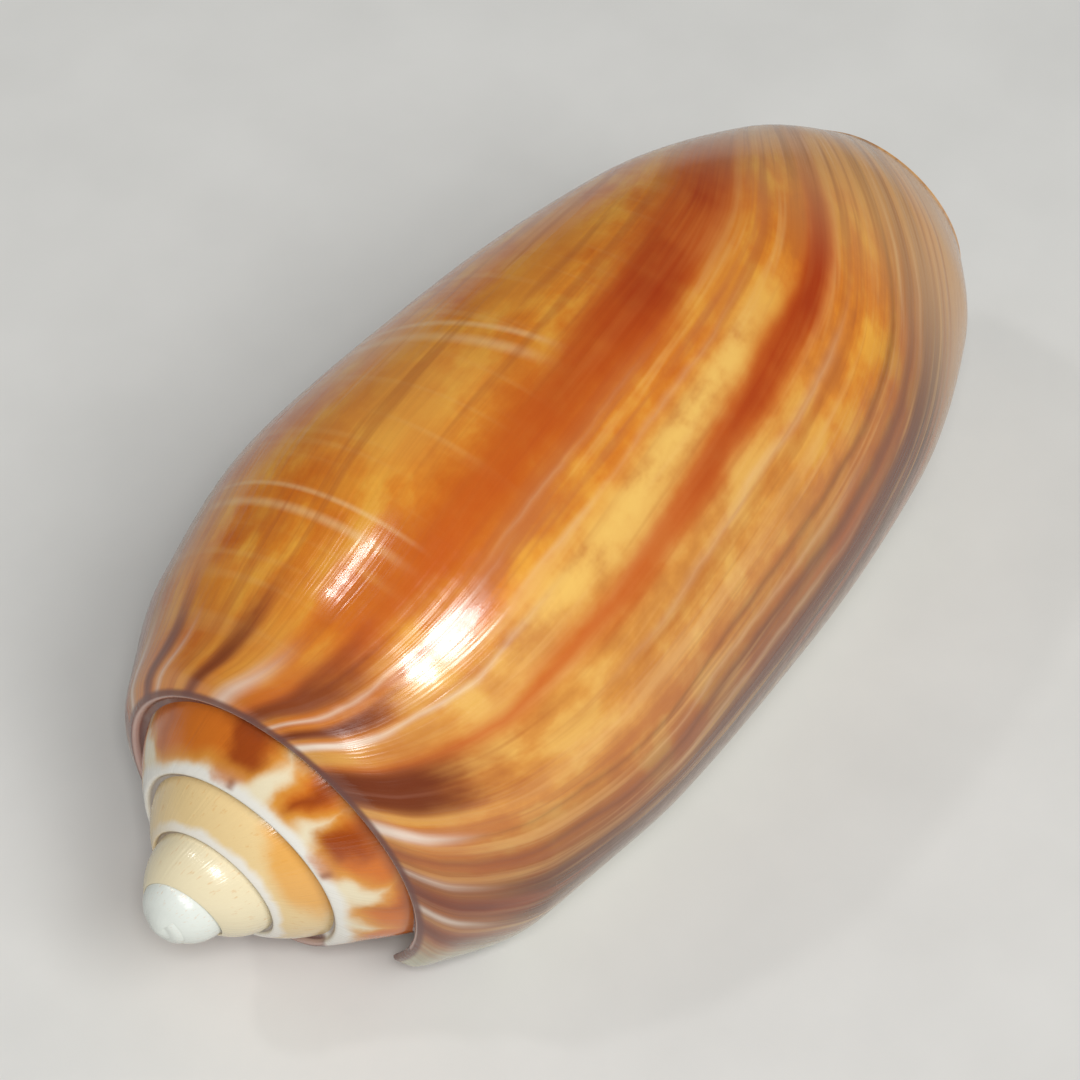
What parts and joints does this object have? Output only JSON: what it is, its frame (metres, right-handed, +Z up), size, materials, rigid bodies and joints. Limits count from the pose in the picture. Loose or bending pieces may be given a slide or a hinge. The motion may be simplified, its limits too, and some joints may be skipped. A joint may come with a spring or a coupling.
{
  "type": "olive shell",
  "caption": "Glossy cylindrical sea-snail shell with a short channelled spire, a long narrow aperture underneath and a siphon notch in front.",
  "frame": {"origin": "middle of the shell's footprint box, on the surface it lies on", "axes": "+X from the tip of the spire to the front end, +Z up, aperture down with the outer lip on the -Y side"},
  "size_m": [0.0606, 0.029, 0.0255],
  "materials": {
    "shell": "naturally polished enamel of an olive shell: orange-brown with darker lengthwise flames, pale spire"
  },
  "bodies": {
    "root": {"shell": "shell"}
  },
  "joints": []
}
